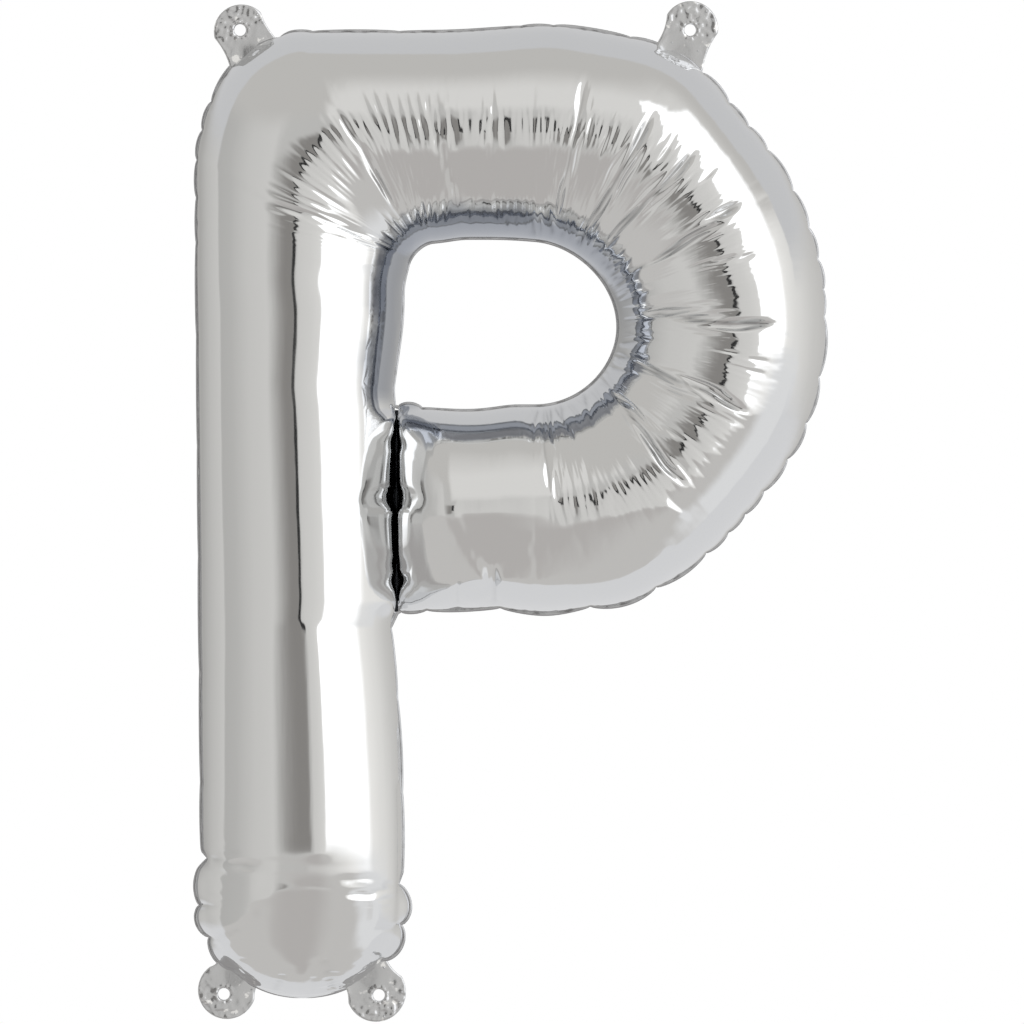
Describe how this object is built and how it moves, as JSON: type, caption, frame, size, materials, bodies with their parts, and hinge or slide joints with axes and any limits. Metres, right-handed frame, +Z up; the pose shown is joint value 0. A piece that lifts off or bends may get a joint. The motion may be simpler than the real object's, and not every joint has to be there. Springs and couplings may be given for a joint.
{
  "type": "letter foil balloon",
  "caption": "Air-filled silver foil balloon in the shape of the letter P, with a welded seam all round and punched hanging tabs at its corners.",
  "frame": {"origin": "halfway between the punched holes of the two upper hanging tabs, on the seam plane", "axes": "+Z up along the stem, +X to the right as the letter is read, -Y towards the reader"},
  "size_m": [0.2281, 0.0776, 0.3674],
  "materials": {
    "front_foil": "metallised film, mirror bright, creased",
    "back_foil": "metallised film, mirror bright, creased",
    "seam_foil": "heat-welded foil margin, slightly puckered",
    "tab_film": "welded double film, grey silver and slightly clear",
    "valve_film": "thin clear plastic film"
  },
  "bodies": {
    "root": {"front_film": "front_foil", "back_film": "back_foil", "outer_seam": "seam_foil", "counter_seam": "seam_foil", "arm_weld": "seam_foil", "tab_top_left": "tab_film", "tab_top_right": "tab_film", "tab_bottom_left": "tab_film", "tab_bottom_right": "tab_film", "fill_valve": "valve_film"}
  },
  "joints": []
}
